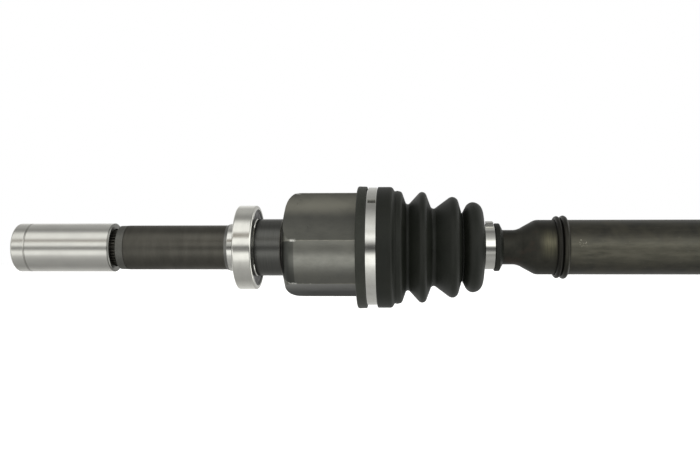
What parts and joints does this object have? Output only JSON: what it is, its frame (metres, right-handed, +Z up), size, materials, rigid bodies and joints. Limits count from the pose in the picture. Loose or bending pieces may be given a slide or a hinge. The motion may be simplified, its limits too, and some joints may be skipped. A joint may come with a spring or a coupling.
{
  "type": "cv axle",
  "caption": "Front drive half shaft: splined sleeve, support bearing, tripod plunge joint, booted tube shaft and ball-type outer joint with hub stub.",
  "frame": {"origin": "centre of the support bearing, on the axle's own axis", "axes": "+X along the axle from the gearbox end to the wheel end, +Z up, +Y away from the viewer"},
  "size_m": [0.8812, 0.0944, 0.0944],
  "materials": {
    "bearing_steel": "ground and polished",
    "ground_steel": "ground bright",
    "machined_steel": "turned",
    "forged_steel": "phosphated and oiled, satin",
    "tube_steel": "black, scuffed satin",
    "spring_steel": "blued",
    "stainless_band": "cold-rolled bright",
    "boot_rubber": "moulded satin",
    "seal_rubber": "moulded satin",
    "cage_plastic": "matt"
  },
  "bodies": {
    "support_ring": {"bearing_outer_ring": "bearing_steel", "bearing_seal_gearbox_side": "seal_rubber", "bearing_seal_wheel_side": "seal_rubber"},
    "bearing_set": {"bearing_balls": "bearing_steel", "bearing_cage": "cage_plastic"},
    "inner_housing": {"tulip_housing": "forged_steel", "bearing_inner_ring": "bearing_steel", "coupling_sleeve": "ground_steel", "sleeve_snap_ring": "spring_steel", "inner_boot": "boot_rubber", "inner_clamp_large": "stainless_band"},
    "plunge_carrier": {"roller_needles_1": "bearing_steel"},
    "roller_1": {"tripod_roller_1": "bearing_steel"},
    "axle_shaft": {"tripod_spider": "machined_steel", "roller_needles_2": "bearing_steel", "roller_needles_3": "bearing_steel", "roller_snap_rings": "spring_steel", "roller_washers": "spring_steel", "spider_circlip": "spring_steel", "inner_shaft_forging": "forged_steel", "shaft_tube": "tube_steel", "outer_shaft_forging": "forged_steel", "inner_clamp_small": "stainless_band", "outer_clamp_small": "stainless_band", "outer_inner_race": "machined_steel", "outer_circlip": "spring_steel"},
    "roller_2": {"tripod_roller_2": "bearing_steel"},
    "roller_3": {"tripod_roller_3": "bearing_steel"},
    "outer_cage": {"outer_ball_cage": "machined_steel", "outer_drive_balls": "bearing_steel"},
    "outer_housing": {"outer_bell_housing": "forged_steel", "outer_clamp_large": "stainless_band", "outer_boot": "boot_rubber"}
  },
  "joints": [
    {"name": "axle_spin", "type": "hinge", "parent": "support_ring", "child": "inner_housing", "pos_m": [0, 0, 0], "axis": [1, 0, 0], "continuous": true},
    {"name": "bearing_orbit", "type": "hinge", "parent": "support_ring", "child": "bearing_set", "pos_m": [0, 0, 0], "axis": [1, 0, 0], "continuous": true},
    {"name": "inner_plunge", "type": "slide", "parent": "inner_housing", "child": "plunge_carrier", "axis": [1, 0, 0], "range_m": [-0.011, 0.012], "deforming": ["inner_boot"]},
    {"name": "roller_1_spin", "type": "hinge", "parent": "plunge_carrier", "child": "roller_1", "pos_m": [0.07, 0, 0], "axis": [0, -0.965, -0.2622], "range_deg": [-45, 45]},
    {"name": "inner_bend", "type": "hinge", "parent": "plunge_carrier", "child": "axle_shaft", "pos_m": [0.07, 0, 0], "axis": [0, -0.965, -0.2622], "range_deg": [-15, 15]},
    {"name": "roller_2_spin", "type": "hinge", "parent": "axle_shaft", "child": "roller_2", "pos_m": [0.07, 0, 0], "axis": [0, 0.2554, 0.9668], "range_deg": [-45, 45]},
    {"name": "roller_3_spin", "type": "hinge", "parent": "axle_shaft", "child": "roller_3", "pos_m": [0.07, 0, 0], "axis": [0, 0.7096, -0.7046], "range_deg": [-45, 45]},
    {"name": "outer_bend", "type": "hinge", "parent": "axle_shaft", "child": "outer_cage", "pos_m": [0.587, 0, 0], "axis": [0, 0, 1], "range_deg": [-20, 20], "deforming": ["outer_boot"]},
    {"name": "outer_bend_follow", "type": "hinge", "parent": "outer_cage", "child": "outer_housing", "pos_m": [0.587, 0, 0], "axis": [0, 0, 1], "range_deg": [-20, 20]}
  ],
  "couplings": [
    {"joint": "bearing_orbit", "follows": "axle_spin", "ratio": 0.418},
    {"joint": "roller_1_spin", "follows": "inner_plunge", "rad_per_m": 62.5},
    {"joint": "roller_2_spin", "follows": "inner_plunge", "rad_per_m": 62.5},
    {"joint": "roller_3_spin", "follows": "inner_plunge", "rad_per_m": 62.5},
    {"joint": "outer_bend_follow", "follows": "outer_bend", "ratio": 1}
  ]
}
